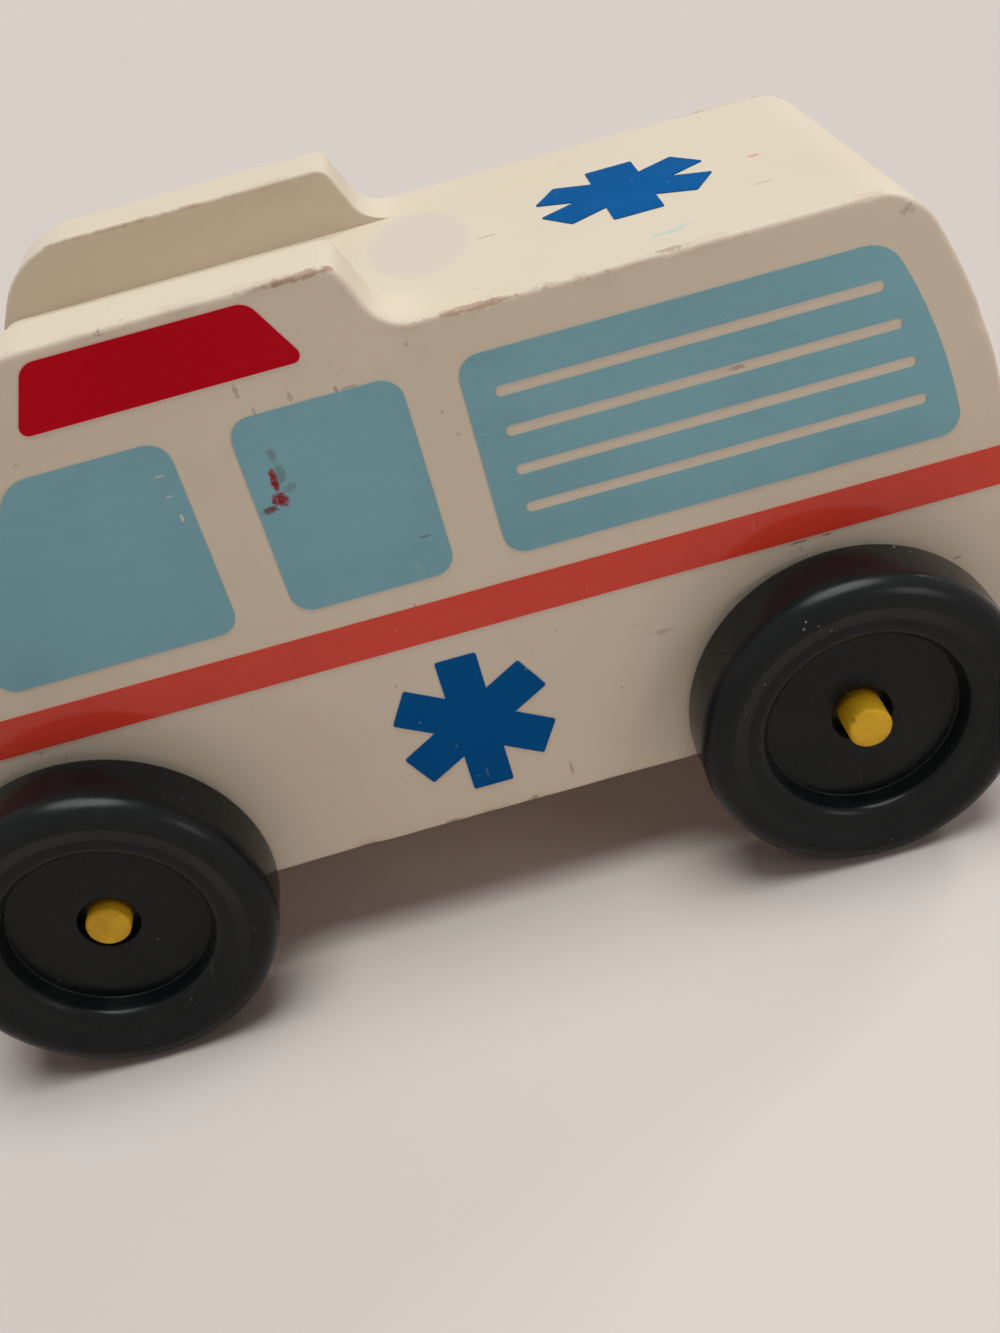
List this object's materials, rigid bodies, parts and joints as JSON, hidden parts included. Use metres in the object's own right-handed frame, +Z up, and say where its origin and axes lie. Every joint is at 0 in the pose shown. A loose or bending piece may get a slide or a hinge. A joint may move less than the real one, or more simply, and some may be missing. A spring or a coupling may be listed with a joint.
{
  "type": "toy ambulance",
  "caption": "Wooden push-along toy ambulance: painted block body with raised roof walls and printed windows, stripe and stars, rolling on dowel axles with black wheels.",
  "frame": {"origin": "on the floor under the middle of the body, on its centre line", "axes": "+X forward, +Y to the vehicle's left, +Z up"},
  "size_m": [0.142, 0.0724, 0.0884],
  "materials": {
    "painted_wood": "satin cream-white paint over wood, rubbed along the edges",
    "dowel_yellow": "satin mustard-yellow paint over dowel",
    "wheel_black": "satin black moulding",
    "window_blue": "matt muted-blue print",
    "light_red": "satin crimson print",
    "stripe_red": "glossy orange-red print",
    "star_blue": "satin deep-blue print"
  },
  "bodies": {
    "body": {"center_block": "painted_wood", "left_side_panel": "painted_wood", "right_side_panel": "painted_wood", "left_front_window": "window_blue", "right_front_window": "window_blue", "left_door_window": "window_blue", "right_door_window": "window_blue", "left_rear_window": "window_blue", "right_rear_window": "window_blue", "left_light_panel": "light_red", "right_light_panel": "light_red", "left_stripe": "stripe_red", "right_stripe": "stripe_red", "left_star": "star_blue", "right_star": "star_blue", "roof_star": "star_blue", "windscreen": "window_blue"},
    "front_wheelset": {"front_axle": "dowel_yellow", "front_left_wheel": "wheel_black", "front_right_wheel": "wheel_black"},
    "rear_wheelset": {"rear_axle": "dowel_yellow", "rear_left_wheel": "wheel_black", "rear_right_wheel": "wheel_black"}
  },
  "joints": [
    {"name": "front_axle_spin", "type": "hinge", "parent": "body", "child": "front_wheelset", "pos_m": [0.04775, 0, 0.0205], "axis": [0, 1, 0], "continuous": true},
    {"name": "rear_axle_spin", "type": "hinge", "parent": "body", "child": "rear_wheelset", "pos_m": [-0.04775, 0, 0.0205], "axis": [0, 1, 0], "continuous": true}
  ]
}
